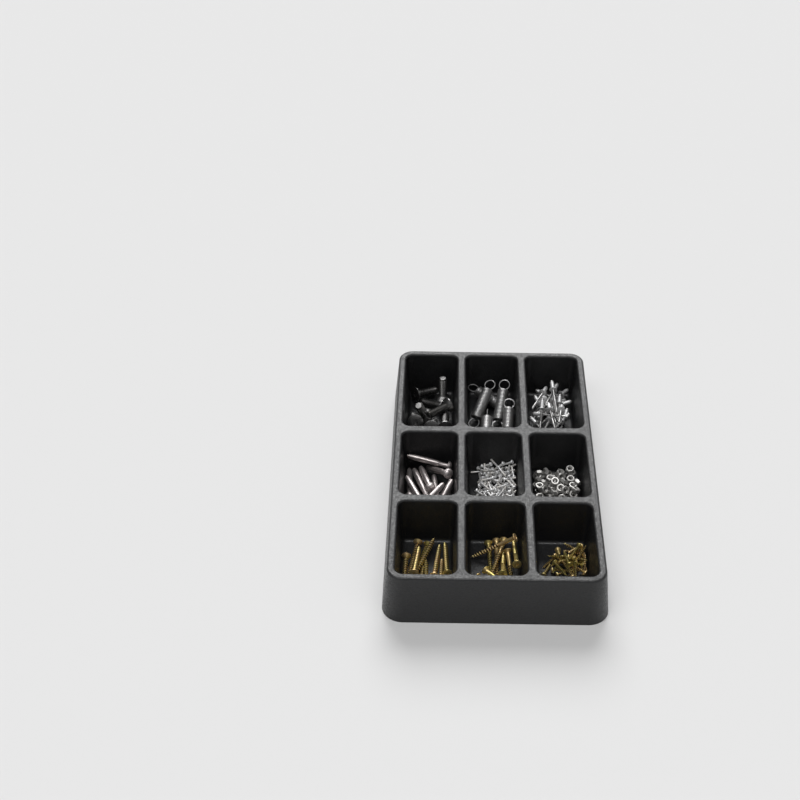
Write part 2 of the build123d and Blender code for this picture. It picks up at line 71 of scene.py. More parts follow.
# Blind rivets
RIVET_BODY = 2.0 * MM
RIVET_BORE = 1.08 * MM
RIVET_FLANGE_HEIGHT = 0.9 * MM
MANDREL = 1.0 * MM
MANDREL_BULB_LENGTH = 1.8 * MM
MANDREL_NOTCH_SHARE = 0.56

# Hollow wall anchors
SLEEVE_OUTER = 2.7 * MM
SLEEVE_BORE = 1.7 * MM
SLEEVE_NECK = 2.2 * MM
SLEEVE_NECK_LENGTH = 9.0 * MM
SLEEVE_SWELL = 1.5 * MM
SLEEVE_NOSE = 1.95 * MM
SLEEVE_NOSE_LENGTH = 7.0 * MM
SLEEVE_FLANGE_HEIGHT = 0.8 * MM
SLEEVE_SLOT = 0.8 * MM
SLEEVE_SLOT_LENGTH = 20.0 * MM
ANCHOR_HEAD_HEIGHT = 2.6 * MM
ANCHOR_CORE = 1.3 * MM
ANCHOR_CREST = 1.55 * MM
ANCHOR_PITCH = 0.8 * MM
ANCHOR_SHANK_SHARE = 0.28
ANCHOR_SLOT = 1.0 * MM
ANCHOR_SLOT_DEPTH = 1.2 * MM

# Machine screws; the recess spans a share of the head's radius
PAN_HEAD_HEIGHT = 1.5 * MM
PAN_CORE = 0.93 * MM
PAN_CREST = 1.0 * MM
PAN_PITCH = 0.62 * MM
PAN_RECESS_SHARE = 0.87

# Hexagon nuts; the shares are of the radius over the flats, and of the height at either rim
NUT_ROOT = 2.1 * MM
NUT_PITCH = 0.7 * MM
NUT_FACE_SHARE = 0.94
NUT_ROUNDED_SHARE = 0.22

# Wood screws; crest and recess are shares of the head's radius, core and point are shares of the crest's
SCREW_LAND = 0.5 * MM
SCREW_CREST_SHARE = 0.5
SCREW_RECESS_SHARE = 0.783
SCREW_CORE_SHARE = 0.62
SCREW_POINT_SHARE = 3.4

# Meshes: how near the corners are that become one, and how sharp the edges are that stay sharp
MERGED_WITHIN = 0.001 * MM
SHARP_EDGE = math.radians(38)


def select_only(*pieces):
    bpy.ops.object.select_all(action="DESELECT")
    for piece in pieces:
        piece.select_set(True)
    bpy.context.view_layer.objects.active = pieces[0]


def select_faces(piece, wanted):
    """In edit mode, selects just the faces that pass the test."""
    shape = bmesh.from_edit_mesh(piece.data)
    for face in shape.faces:
        face.select_set(False)
    for face in shape.faces:
        if wanted(face):
            face.select_set(True)
    bmesh.update_edit_mesh(piece.data)


def face_out(piece):
    """Merges a piece's doubles and turns its faces outwards."""
    select_only(piece)
    bpy.ops.object.mode_set(mode="EDIT")
    bpy.ops.mesh.select_all(action="SELECT")
    bpy.ops.mesh.remove_doubles(threshold=MERGED_WITHIN)
    bpy.ops.mesh.normals_make_consistent(inside=False)
    bpy.ops.object.mode_set(mode="OBJECT")


def turned(name, rings, sides):
    """A turned piece, extruded from ring to ring; each ring is a radius and a height."""
    radius, height = rings[0]
    bpy.ops.object.select_all(action="DESELECT")
    bpy.ops.mesh.primitive_circle_add(vertices=sides, radius=radius, fill_type="NGON",
                                      location=(0, 0, height))
    piece = bpy.context.object
    piece.name = name
    bpy.ops.object.transform_apply(location=True, rotation=False, scale=False)
    bpy.ops.object.mode_set(mode="EDIT")
    for next_radius, next_height in rings[1:]:
        bpy.ops.mesh.extrude_region_move(TRANSFORM_OT_translate={"value": (0, 0, next_height - height)})
        share = next_radius / radius
        bpy.ops.transform.resize(value=(share, share, 1), center_override=(0, 0, next_height))
        radius, height = next_radius, next_height
    bpy.ops.object.mode_set(mode="OBJECT")
    face_out(piece)
    return piece


def cut(piece, cutter, operation="DIFFERENCE"):
    """Cuts a piece with another one, which is used up."""
    select_only(piece)
    shaper = piece.modifiers.new("cut", "BOOLEAN")
    shaper.operation = operation
    shaper.object = cutter
    shaper.solver = "EXACT"
    bpy.ops.object.modifier_apply(modifier=shaper.name)
    bpy.data.objects.remove(cutter)


def rod_cutter(radius, low, high, sides=24):
    bpy.ops.object.select_all(action="DESELECT")
    bpy.ops.mesh.primitive_cylinder_add(vertices=sides, radius=radius, depth=high - low,
                                        location=(0, 0, (low + high) / 2))
    cutter = bpy.context.object
    bpy.ops.object.transform_apply(location=True, rotation=False, scale=False)
    return cutter


def bar_cutter(span, width, high, low, turn=0.0, narrowing=1.0):
    """A bar across a piece, between two heights, whose foot is drawn in by a share."""
    bpy.ops.object.select_all(action="DESELECT")
    bpy.ops.mesh.primitive_cube_add(size=1, location=(0, 0, (high + low) / 2), rotation=(0, 0, turn),
                                    scale=(span, width, high - low))
    cutter = bpy.context.object
    bpy.ops.object.transform_apply(location=True, rotation=True, scale=True)
    bpy.ops.object.mode_set(mode="EDIT")
    select_faces(cutter, lambda face: face.normal.z < -0.5)
    bpy.ops.transform.resize(value=(narrowing, narrowing, 1), center_override=(0, 0, low))
    bpy.ops.object.mode_set(mode="OBJECT")
    return cutter


def cross_recess(piece, span, depth):
    """Cuts a cross recess, whose wings lean in, into a head that tops out at zero."""
    for turn in (0, math.pi / 2):
        cut(piece, bar_cutter(1.35 * span, 0.3 * span, 0.4 * depth, -depth, turn, 0.5))


def wire(name, points, thickness, resolution, fade=0, twist="MINIMUM"):
    """A closed tube along points, whose ends grow thin over so many points."""
    line = bpy.data.curves.new(name, "CURVE")
    line.dimensions = "3D"
    line.twist_mode = twist
    line.bevel_depth = thickness / 2
    line.bevel_resolution = resolution
    line.use_fill_caps = True
    spline = line.splines.new("POLY")
    spline.points.add(len(points) - 1)
    for index, place in enumerate(points):
        spline.points[index].co = (*place, 1)
        from_end = min(index, len(points) - 1 - index)
        spline.points[index].radius = min(1.0, 0.25 + 0.75 * from_end / fade) if fade else 1.0
    piece = bpy.data.objects.new(name, line)
    bpy.context.scene.collection.objects.link(piece)
    select_only(piece)
    bpy.ops.object.convert(target="MESH")
    face_out(bpy.context.object)
    return bpy.context.object


def helix(radius_at, top, bottom, pitch, steps):
    """Points down a right-handed helix, whose distance from the axis follows the height."""
    points = []
    for index in range(int(steps * (top - bottom) / pitch) + 1):
        height = top - pitch * index / steps
        turn = -2 * math.pi * index / steps
        points.append((radius_at(height) * math.cos(turn), radius_at(height) * math.sin(turn), height))
    return points


def joined(piece, *others):
    select_only(piece, *others)
    bpy.ops.object.join()
    return piece


def threaded(piece, core, crest, top, bottom, pitch, steps, width_share=0.9, shoulder=None, tip=None):
    """Adds a thread, which narrows with the point below the shoulder, and marks the groove beside it, where
    the colour gets painted shade.
    """
    width = width_share * pitch

    def narrowed(height):
        if shoulder is None or height > shoulder:
            return 1.0
        return max(0.06, (height - tip) / (shoulder - tip))

    line = helix(lambda height: (crest - width / 2) * narrowed(height), top, bottom, pitch, steps)
    joined(piece, wire("thread", line, width, resolution=0, fade=steps // 2, twist="Z_UP"))
    depths = []
    for vertex in piece.data.vertices:
        x, y, height = vertex.co
        depth = (crest - math.hypot(x, y) / narrowed(height)) / (crest - core)
        beside_thread = bottom - 0.3 * pitch < height < top - 0.1 * pitch
        depths.append(min(1.0, max(0.0, depth)) if beside_thread else 0.0)
    piece.data.attributes.new("groove", "FLOAT", "POINT").data.foreach_set("value", depths)


def islands(node):
    """Triangles of each separate solid in a CAD node, as arrays of corner places."""
    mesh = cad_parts[node].data
    places = np.empty(3 * len(mesh.vertices))
    mesh.vertices.foreach_get("co", places)
    places = places.reshape(-1, 3)
    corners = np.empty(len(mesh.loops), dtype=np.int64)
    mesh.loops.foreach_get("vertex_index", corners)
    corners = corners.reshape(-1, 3)
    rounded = np.round(places / MERGED_WITHIN).astype(np.int64)
    merged = np.unique(rounded, axis=0, return_inverse=True)[1].ravel()
    triangles = merged[corners]
    label = np.arange(merged.max() + 1)
    while True:
        least = label.copy()
        np.minimum.at(least, triangles, label[triangles].min(axis=1)[:, None])
        least = least[least]
        if (least == label).all():
            break
        label = least
    owner = label[triangles[:, 0]]
    return [places[corners[owner == name]] for name in np.unique(owner)]


def measure(triangles, flat=False):
    """Centre, axis and points of a solid; its axis is its longest one, or a flat solid's shortest."""
    sides = triangles[:, 1:] - triangles[:, :1]
    area = np.linalg.norm(np.cross(sides[:, 0], sides[:, 1]), axis=1)
    centre = np.einsum("n,nki->i", area, triangles) / (3 * area.sum())
    spokes = triangles - centre
    total = spokes.sum(axis=1)
    moment = np.einsum("n,nki,nkj->ij", area, spokes, spokes) + np.einsum("n,ni,nj->ij", area, total, total)
    axes = np.linalg.eigh(moment)[1]
    axis = axes[:, 0] if flat else axes[:, 2]
    return centre, axis, spokes.reshape(-1, 3)


def square_to(axis, toward):
    """The part of a direction that is square to an axis, one long."""
    side = toward - axis * np.dot(axis, toward)
    return side / np.linalg.norm(side)


def placed(origin, side, axis):
    across = np.cross(axis, side)
    matrix = Matrix.Identity(4)
    for column, vector in enumerate((side, across, axis, origin)):
        for row in range(3):
            matrix[row][column] = vector[row]
    return matrix


def rods(node):
    """Places of a node's turned parts, head up with its top at zero, and their length and widest radius."""
    spots = []
    for triangles in islands(node):
        centre, axis, spokes = measure(triangles)
        along = spokes @ axis
        away = np.linalg.norm(spokes - along[:, None] * axis, axis=1)
        if along[away.argmax()] < 0:
            axis, along = -axis, -along
        side = square_to(axis, np.eye(3)[np.abs(axis).argmin()])
        spots.append(placed(centre + axis * along.max(), side, axis))
    return spots, along.max() - along.min(), away.max()


def nuts(node):
    """Places of a node's nuts, with X through a corner, and their height and corner radius."""
    spots = []
    for triangles in islands(node):
        centre, axis, spokes = measure(triangles, flat=True)
        along = spokes @ axis
        level = spokes - along[:, None] * axis
        away = np.linalg.norm(level, axis=1)
        spots.append(placed(centre, square_to(axis, level[away.argmax()]), axis))
    return spots, along.max() - along.min(), away.max()


def springs(node):
    """Place of a node's spring, with X in the plane of its end loops, and its coil radius."""
    centre, axis, spokes = measure(np.concatenate(islands(node)))
    along = spokes @ axis
    level = spokes - along[:, None] * axis
    loops = level[np.abs(along) > 0.7 * along.max()]
    side = np.linalg.eigh(loops.T @ loops)[1][:, 2]
    return [placed(centre, square_to(axis, side), axis)], np.linalg.norm(level, axis=1).max()


def lay(model, node, material, spots, turn=True):
    """Copies a model to each place in a CAD node, gives each copy a shade of its own, and joins them."""
    draw = random.Random(node)
    copies = []
    for spot in spots:
        copy = bpy.data.objects.new(node, model.data.copy())
        bpy.context.scene.collection.objects.link(copy)
        roll = Matrix.Rotation(draw.uniform(0, 2 * math.pi) if turn else 0.0, 4, "Z")
        copy.data.transform(spot @ roll)
        shade = copy.data.attributes.new("shade", "FLOAT", "POINT")
        shade.data.foreach_set("value", [draw.random()] * len(copy.data.vertices))
        copies.append(copy)
    piece = joined(*copies)
    piece.name = f"{node}_finished"
    bpy.ops.object.shade_smooth_by_angle(angle=SHARP_EDGE)
    piece.data.materials.clear()
    piece.data.materials.append(material)
    bpy.data.objects.remove(model)
    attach(piece, "root")
    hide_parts(node)


def shader_node(tree, kind, inputs=None, **settings):
    """A shader node, whose inputs are given as values or as sockets to link."""
    node = tree.nodes.new(kind)
    for name, value in settings.items():
        setattr(node, name, value)
    for name, value in (inputs or {}).items():
        if isinstance(value, bpy.types.NodeSocket):
            tree.links.new(value, node.inputs[name])
        else:
            node.inputs[name].default_value = value
    return node


def effect(name, inputs, outputs):
    """An empty node group with named number inputs and outputs, and its two end nodes."""
    group = bpy.data.node_groups.new(name, "ShaderNodeTree")
    for title, value in inputs.items():
        socket = group.interface.new_socket(title, in_out="INPUT", socket_type="NodeSocketFloat")
        socket.default_value = value
    for title in outputs:
        group.interface.new_socket(title, in_out="OUTPUT", socket_type="NodeSocketFloat")
    return group, group.nodes.new("NodeGroupInput"), group.nodes.new("NodeGroupOutput")


def mapped(tree, value, source, target):
    """A value, carried over from a source range to a target range."""
    return shader_node(tree, "ShaderNodeMapRange", {
        "Value": value, "From Min": source[0], "From Max": source[1],
        "To Min": target[0], "To Max": target[1],
    }).outputs["Result"]


def sum_of(tree, value, factor, other):
    """A value times a factor, plus another value."""
    return shader_node(tree, "ShaderNodeMath", {0: value, 1: factor, 2: other},
                       operation="MULTIPLY_ADD").outputs[0]


def object_place(tree):
    return shader_node(tree, "ShaderNodeTexCoord").outputs["Object"]


def noise(tree, per_metre, detail):
    """Soft spots all over a piece, so many to the metre."""
    return shader_node(tree, "ShaderNodeTexNoise", {
        "Vector": object_place(tree), "Scale": per_metre, "Detail": detail,
    }).outputs["Fac"]


def attribute(tree, name):
    return shader_node(tree, "ShaderNodeAttribute", attribute_name=name).outputs["Fac"]


def moulded_grain():
    """The leathery grain of a plastic moulding, speckle among the grains, and slow blotches over it."""
    group, given, result = effect("moulded grain", {"Grains per metre": 1500.0},
                                  ["Height", "Speckle", "Blotches"])
    cells = shader_node(group, "ShaderNodeTexVoronoi", {
        "Vector": object_place(group), "Scale": given.outputs["Grains per metre"],
    }, feature="SMOOTH_F1").outputs["Distance"]
    speckle = noise(group, 640.0, detail=3.0)
    group.links.new(sum_of(group, speckle, 2.2, cells), result.inputs["Height"])
    group.links.new(speckle, result.inputs["Speckle"])
    group.links.new(noise(group, 18.0, detail=4.0), result.inputs["Blotches"])
    return group


def metal_marks():
    """Marks on a plated metal: wandering roughness, fine pits, each part's own shade, and painted shade in
    the grooves.
    """
    group, given, result = effect("metal marks", {"Smoothest": 0.2, "Roughest": 0.4},
                                  ["Roughness", "Height", "Shade", "Groove"])
    limits = given.outputs["Smoothest"], given.outputs["Roughest"]
    roughness = mapped(group, noise(group, 420.0, detail=3.0), (0.3, 0.7), limits)
    group.links.new(roughness, result.inputs["Roughness"])
    group.links.new(noise(group, 2600.0, detail=2.0), result.inputs["Height"])
    own = sum_of(group, attribute(group, "shade"), 1.0, noise(group, 150.0, detail=2.0))
    group.links.new(mapped(group, own, (0.3, 1.6), (0.0, 1.0)), result.inputs["Shade"])
    # Mask for the painted shade in a thread's grooves
    groove = mapped(group, attribute(group, "groove"), (0.25, 0.9), (0.0, 1.0))
    group.links.new(groove, result.inputs["Groove"])
    return group


GRAIN = moulded_grain()
MARKS = metal_marks()


def new_material(name):
    material = bpy.data.materials.new(name)
    material.use_nodes = True
    tree = material.node_tree
    return material, tree, tree.nodes["Principled BSDF"]


def blended(tree, share, first, second):
    """Two colours, blended by a share that changes over the surface."""
    mix = shader_node(tree, "ShaderNodeMix", data_type="RGBA")
    tree.links.new(share, mix.inputs[0])
    mix.inputs[6].default_value = (*first, 1)
    mix.inputs[7].default_value = (*second, 1)
    return mix.outputs[2]


def bumped(tree, shader, height, strength, distance):
    bump = shader_node(tree, "ShaderNodeBump", {
        "Strength": strength, "Distance": distance, "Height": height,
    })
    tree.links.new(bump.outputs["Normal"], shader.inputs["Normal"])


def plastic():
    """Charcoal plastic with a moulded grain, whose sheen is uneven."""
    material, tree, shader = new_material("charcoal moulded plastic")
    grain = shader_node(tree, "ShaderNodeGroup", {"Grains per metre": 1800.0}, node_tree=GRAIN)
    colour = blended(tree, grain.outputs["Blotches"], (0.009, 0.0093, 0.010), (0.013, 0.0133, 0.014))
    tree.links.new(colour, shader.inputs["Base Color"])
    roughness = mapped(tree, grain.outputs["Speckle"], (0.35, 0.65), (0.28, 0.54))
    tree.links.new(roughness, shader.inputs["Roughness"])
    bumped(tree, shader, grain.outputs["Height"], strength=1.0, distance=0.1 * MM)
    return material


def painted_groove_shade(tree, groove, colour, left):
    """A colour darkened in the grooves of a thread as painted shade, where only a share of it is left."""
    mix = shader_node(tree, "ShaderNodeMix", data_type="RGBA", blend_type="MULTIPLY")
    tree.links.new(groove, mix.inputs[0])
    tree.links.new(colour, mix.inputs[6])
    mix.inputs[7].default_value = (left, 0.96 * left, 0.9 * left, 1)
    return mix.outputs[2]


def mixed(tree, share, first, second):
    """Two changing colours, mixed by a share."""
    mix = shader_node(tree, "ShaderNodeMix", {0: share}, data_type="RGBA")
    tree.links.new(first, mix.inputs[6])
    tree.links.new(second, mix.inputs[7])
    return mix.outputs[2]


def metal(name, dark, light, roughness, metallic, groove_left=0.6, tint=None):
    """A plated metal, between a dark and a light shade, which a tint may change from place to place."""
    material, tree, shader = new_material(name)
    smoothest, roughest = roughness
    marks = shader_node(tree, "ShaderNodeGroup", {"Smoothest": smoothest, "Roughest": roughest},
                        node_tree=MARKS)
    colour = blended(tree, marks.outputs["Shade"], dark, light)
    if tint:
        colour = tint(tree, colour)
    # The colour is darkened in a thread's grooves: painted shade.
    tree.links.new(painted_groove_shade(tree, marks.outputs["Groove"], colour, groove_left), shader.inputs["Base Color"])
    tree.links.new(marks.outputs["Roughness"], shader.inputs["Roughness"])
    bumped(tree, shader, marks.outputs["Height"], strength=0.15, distance=0.02 * MM)
    shader.inputs["Metallic"].default_value = metallic
    return material


def black_with_painted_highlight(tree, black):
    """Black with a lighter bare-steel colour on ends and edges, in an uneven share: a painted highlight."""
    uneven = mapped(tree, noise(tree, 700.0, detail=3.0), (0.35, 0.6), (0.6, 1.0))
    painted_highlight = attribute(tree, "painted_highlight")
    share = shader_node(tree, "ShaderNodeMath", {0: painted_highlight, 1: uneven}, operation="MULTIPLY")
    steel = blended(tree, noise(tree, 300.0, detail=2.0), (0.44, 0.435, 0.43), (0.58, 0.575, 0.57))
    return mixed(tree, share.outputs[0], black, steel)


def black_oxide():
    # Its ends and head edges get a painted highlight in a lighter steel colour.
    return metal("black oxide", (0.16, 0.159, 0.158), (0.32, 0.315, 0.31),
                 roughness=(0.25, 0.36), metallic=0.95, groove_left=0.25, tint=black_with_painted_highlight)


def spring_steel():
    return metal("spring steel", (0.42, 0.42, 0.42), (0.53, 0.525, 0.52),
                 roughness=(0.32, 0.42), metallic=0.9)


def aluminium():
    return metal("aluminium", (0.70, 0.70, 0.705), (0.86, 0.86, 0.86),
                 roughness=(0.46, 0.58), metallic=0.75)


def mandrel_steel():
    return metal("mandrel steel", (0.36, 0.355, 0.35), (0.58, 0.575, 0.57),
                 roughness=(0.32, 0.46), metallic=0.85)


def zinc_with_painted_pink_reflection():
    # Zinc grey with a pink tint painted in: a painted reflection of a red drawer.
    return metal("zinc with painted pink reflection", (0.50, 0.455, 0.445), (0.76, 0.70, 0.69),
                 roughness=(0.36, 0.48), metallic=0.85)


def bright_zinc():
    return metal("bright zinc", (0.84, 0.84, 0.845), (0.95, 0.95, 0.95),
                 roughness=(0.36, 0.48), metallic=0.6, groove_left=0.85)


def bright_nickel():
    return metal("bright nickel", (0.42, 0.41, 0.395), (0.62, 0.61, 0.59),
                 roughness=(0.38, 0.5), metallic=0.8)


def zinc_tints(tree, gold):
    """Gold with olive and pink tints, which wander over each screw and from screw to screw."""
    wander = sum_of(tree, attribute(tree, "shade"), 0.4, noise(tree, 110.0, detail=2.0))
    tints = shader_node(tree, "ShaderNodeValToRGB", {"Fac": mapped(tree, wander, (0.4, 1.0), (0.0, 1.0))})
    ramp = tints.color_ramp.elements
    ramp[0].color = (0.50, 0.53, 0.18, 1)
    ramp[1].color = (0.92, 0.55, 0.36, 1)
    ramp.new(0.5).color = (0.86, 0.70, 0.32, 1)
    return mixed(tree, 0.45, gold, tints.outputs["Color"])


def yellow_zinc():
    return metal("yellow zinc", (0.50, 0.35, 0.08), (1.0, 0.81, 0.37),
                 roughness=(0.27, 0.39), metallic=0.85, groove_left=0.16, tint=zinc_tints)


def finish_tray():
    """The tray keeps its own solid, and gets its plastic."""
    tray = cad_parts["tray"]
    tray.data.materials.clear()
    tray.data.materials.append(plastic())


def mark_painted_highlight(bolt, length, head):
    """Marks a bolt's lower end, and half as strongly its head's edge, for a painted highlight."""
    highlight_shares = []
    for vertex in bolt.data.vertices:
        height = vertex.co.z
        on_end = height < 0.05 * MM - length
        on_edge = -0.5 * MM < height < -0.1 * MM and vertex.co.xy.length > head - 0.1 * MM
        highlight_shares.append(1.0 if on_end else 0.5 if on_edge else 0.0)
    bolt.data.attributes.new("painted_highlight", "FLOAT", "POINT").data.foreach_set("value", highlight_shares)


def countersunk_bolts():
    spots, length, head = rods("countersunk_bolts")
    neck = -BOLT_LAND - (head - BOLT_CREST)
    bolt = turned("bolt", [
        (head - 0.3 * MM, 0), (head - 0.05 * MM, -0.15 * MM), (head, -0.4 * MM), (head, -BOLT_LAND),
        (BOLT_CREST, neck), (BOLT_CORE, neck - 0.3 * MM), (BOLT_CORE, -length + 0.7 * MM),
        (BOLT_CORE - 0.7 * MM, -length)], sides=48)
    cut(bolt, rod_cutter(BOLT_SOCKET / math.sqrt(3), -BOLT_SOCKET_DEPTH, 1 * MM, sides=6))
    # The end and head edge are marked for a painted highlight.
    mark_painted_highlight(bolt, length, head)
    threaded(bolt, BOLT_CORE, BOLT_CREST, neck, -length + 0.9 * MM, BOLT_PITCH, steps=22)
    lay(bolt, "countersunk_bolts", black_oxide(), spots)


def spring_wire_path(reach):
    """Points along the wire of a close-wound spring, whose two end loops stand over its middle."""
    top = SPRING_COIL / 2
    loop_centre = top + SPRING_WIRE + reach
    coil = helix(lambda height: reach, top, -top, SPRING_COIL / SPRING_TURNS, SPRING_STEPS)[::-1]
    loop = []
    for index in range(SPRING_LOOP_STEPS + 1):
        turn = math.radians(SPRING_LOOP_START - SPRING_LOOP_SWEEP * index / SPRING_LOOP_STEPS)
        loop.append((reach * math.cos(turn), 0.0, loop_centre + reach * math.sin(turn)))
    # From the coil's end, up across its middle and into the loop
    bend = [(reach, 0.0, top), (0.0, 0.55 * reach, top + 0.6 * SPRING_WIRE), loop[0]]
    heading = [(0, 1.5 * reach, 0), (-1.2 * reach, -0.45 * reach, 0.3 * reach),
               (-0.8 * reach, 0, 0.8 * reach)]
    lead = []
    for start, end, leave, arrive in zip(bend, bend[1:], heading, heading[1:]):
        for index in range(10):
            share = index / 10
            start_share = 2 * share ** 3 - 3 * share ** 2 + 1
            point = start_share * Vector(start) + (1 - start_share) * Vector(end)
            point += (share ** 3 - 2 * share ** 2 + share) * Vector(leave)
            point += (share ** 3 - share ** 2) * Vector(arrive)
            lead.append(tuple(point))
    upper = lead[1:] + loop
    lower = [(x, -y, -z) for x, y, z in reversed(upper)]
    return lower + coil + upper


def extension_springs():
    steel = spring_steel()
    for number in range(1, 6):
        node = f"extension_spring_{number}"
        spots, outer = springs(node)
        path = spring_wire_path(outer - SPRING_WIRE / 2)
        spring = wire("spring", path, 0.985 * SPRING_WIRE, resolution=2)
        lay(spring, node, steel, spots, turn=False)


def rivets():
    spots, length, flange = rods("rivet_bodies")
    under_flange = -RIVET_FLANGE_HEIGHT
    body = turned("rivet body", [
        (RIVET_BORE + 0.35 * MM, 0), (flange - 0.8 * MM, -0.12 * MM), (flange - 0.2 * MM, -0.4 * MM),
        (flange, -0.62 * MM), (flange - 0.1 * MM, under_flange), (RIVET_BODY, under_flange),
        (RIVET_BODY, -length + 0.25 * MM), (RIVET_BODY - 0.25 * MM, -length)], sides=20)
    cut(body, rod_cutter(RIVET_BORE, -length - 1 * MM, 1 * MM, sides=16))
    lay(body, "rivet_bodies", aluminium(), spots)
    spots, length, bulb = rods("rivet_mandrels")
    neck = -MANDREL_BULB_LENGTH
    notch = 0.94 * neck - MANDREL_NOTCH_SHARE * length
    half_notch = 0.01 * length
    pin = turned("mandrel", [
        (0.55 * bulb, 0), (0.85 * bulb, -0.25 * MM), (bulb, -0.7 * MM), (bulb, neck + 0.15 * MM),
        (MANDREL, neck), (MANDREL, notch + half_notch), (0.86 * MANDREL, notch),
        (MANDREL, notch - half_notch), (MANDREL, -length + 0.8 * MM), (0.5 * MANDREL, -length)], sides=14)
    lay(pin, "rivet_mandrels", mandrel_steel(), spots)


def wall_anchors():
    zinc = zinc_with_painted_pink_reflection()
    spots, length, flange = rods("anchor_sleeves")
    under_flange = -SLEEVE_FLANGE_HEIGHT
    neck_end = -SLEEVE_NECK_LENGTH
    sleeve = turned("anchor sleeve", [
        (flange - 0.25 * MM, 0), (flange, -0.25 * MM), (flange, under_flange + 0.15 * MM),
        (flange - 0.15 * MM, under_flange), (SLEEVE_NECK + 0.4 * MM, under_flange),
        (SLEEVE_NECK, under_flange - 0.5 * MM), (SLEEVE_NECK, neck_end + 0.3 * MM),
        (SLEEVE_NECK + 0.15 * MM, neck_end), (SLEEVE_OUTER - 0.1 * MM, neck_end - 0.8 * SLEEVE_SWELL),
        (SLEEVE_OUTER, neck_end - SLEEVE_SWELL - 0.4 * MM),
        (SLEEVE_OUTER, -length + 1.1 * SLEEVE_NOSE_LENGTH),
        (SLEEVE_OUTER - 0.12 * MM, -length + 0.8 * SLEEVE_NOSE_LENGTH),
        (SLEEVE_NOSE + 0.3 * MM, -length + 0.3 * SLEEVE_NOSE_LENGTH), (SLEEVE_NOSE, -length)], sides=28)
    cut(sleeve, rod_cutter(SLEEVE_BORE, -length - 1 * MM, 1 * MM, sides=20))
    for turn in (0, math.pi / 2):
        cut(sleeve, bar_cutter(3 * SLEEVE_OUTER, SLEEVE_SLOT, neck_end, neck_end - SLEEVE_SLOT_LENGTH, turn))
    lay(sleeve, "anchor_sleeves", zinc, spots)
    spots, length, head = rods("anchor_screws")
    dome = [(max(head * math.sin(turn), 0.02 * MM), -ANCHOR_HEAD_HEIGHT * (1 - math.cos(turn)))
            for turn in (math.pi / 2 * step / 7 for step in range(8))]
    under_head = -ANCHOR_HEAD_HEIGHT - 0.01 * MM
    screw = turned("anchor screw", dome + [
        (head - 0.1 * MM, under_head), (ANCHOR_CORE, under_head),
        (ANCHOR_CORE, -length + 0.4 * MM), (0.6 * ANCHOR_CORE, -length)], sides=28)
    cut(screw, bar_cutter(3 * head, ANCHOR_SLOT, 1 * MM, -ANCHOR_SLOT_DEPTH))
    threaded(screw, ANCHOR_CORE, ANCHOR_CREST, -ANCHOR_SHANK_SHARE * length, -length + 0.5 * MM,
             ANCHOR_PITCH, steps=12)
    lay(screw, "anchor_screws", zinc, spots)


def machine_screws():
    spots, length, head = rods("machine_screws")
    screw = turned("machine screw", [
        (0.45 * head, 0), (0.72 * head, -0.12 * MM), (0.93 * head, -0.42 * MM), (head, -0.85 * MM),
        (head, -PAN_HEAD_HEIGHT), (PAN_CORE, -PAN_HEAD_HEIGHT), (PAN_CORE, -length + 0.2 * MM),
        (0.7 * PAN_CORE, -length)], sides=12)
    cross_recess(screw, PAN_RECESS_SHARE * head, 0.9 * MM)
    threaded(screw, PAN_CORE, PAN_CREST, -PAN_HEAD_HEIGHT, -length + 0.3 * MM, PAN_PITCH, steps=8)
    lay(screw, "machine_screws", bright_zinc(), spots)


def hex_nuts():
    spots, height, corner = nuts("hex_nuts")
    flat = corner * math.cos(math.pi / 6)
    bpy.ops.object.select_all(action="DESELECT")
    bpy.ops.mesh.primitive_cylinder_add(vertices=6, radius=corner, depth=height,
                                        rotation=(0, 0, math.pi / 6))
    nut = bpy.context.object
    bpy.ops.object.transform_apply(location=False, rotation=True, scale=False)
    half = height / 2
    rim = NUT_ROUNDED_SHARE * height
    face = NUT_FACE_SHARE * flat
    cut(nut, turned("rounding", [
        (face, half + 0.01 * MM), (corner + 0.05 * MM, half - rim), (corner + 0.05 * MM, rim - half),
        (face, -half - 0.01 * MM)], sides=30), "INTERSECT")
    cut(nut, turned("hole", [
        (NUT_ROOT + 0.35 * MM, half + 0.1 * MM), (NUT_ROOT, half - 0.3 * MM), (NUT_ROOT, 0.3 * MM - half),
        (NUT_ROOT + 0.35 * MM, -half - 0.1 * MM)], sides=18))
    line = helix(lambda level: NUT_ROOT, 0.8 * half, -0.8 * half, NUT_PITCH, steps=10)
    joined(nut, wire("thread", line, 0.55 * NUT_PITCH, resolution=0, fade=4, twist="Z_UP"))
    lay(nut, "hex_nuts", bright_nickel(), spots, turn=False)


def wood_screws(node, material, pitch, steps, shank_share=0.0):
    """Countersunk screws with a cross recess, whose plain shank takes up a share of their length."""
    spots, length, head = rods(node)
    crest = SCREW_CREST_SHARE * head
    core = SCREW_CORE_SHARE * crest
    neck = -SCREW_LAND - (head - crest)
    thread_top = -shank_share * length if shank_share else neck
    shank = 0.92 * crest if shank_share else core
    shoulder = -length + SCREW_POINT_SHARE * crest
    screw = turned("wood screw", [
        (0.93 * head, 0), (0.985 * head, -0.1 * MM), (head, -0.25 * MM), (head, -SCREW_LAND),
        (0.5 * (head + crest), neck / 2 - 0.35 * SCREW_LAND), (crest, 1.02 * neck), (shank, 1.15 * neck),
        (shank, thread_top), (core, thread_top - 0.5 * MM), (core, shoulder),
        (0.62 * core, shoulder - crest), (0.06 * core, -length)], sides=24)
    cross_recess(screw, SCREW_RECESS_SHARE * head, 0.36 * head)
    threaded(screw, core, crest, thread_top, -length + 0.5 * crest, pitch, steps,
             width_share=0.62, shoulder=shoulder, tip=-length)
    lay(screw, node, material, spots)


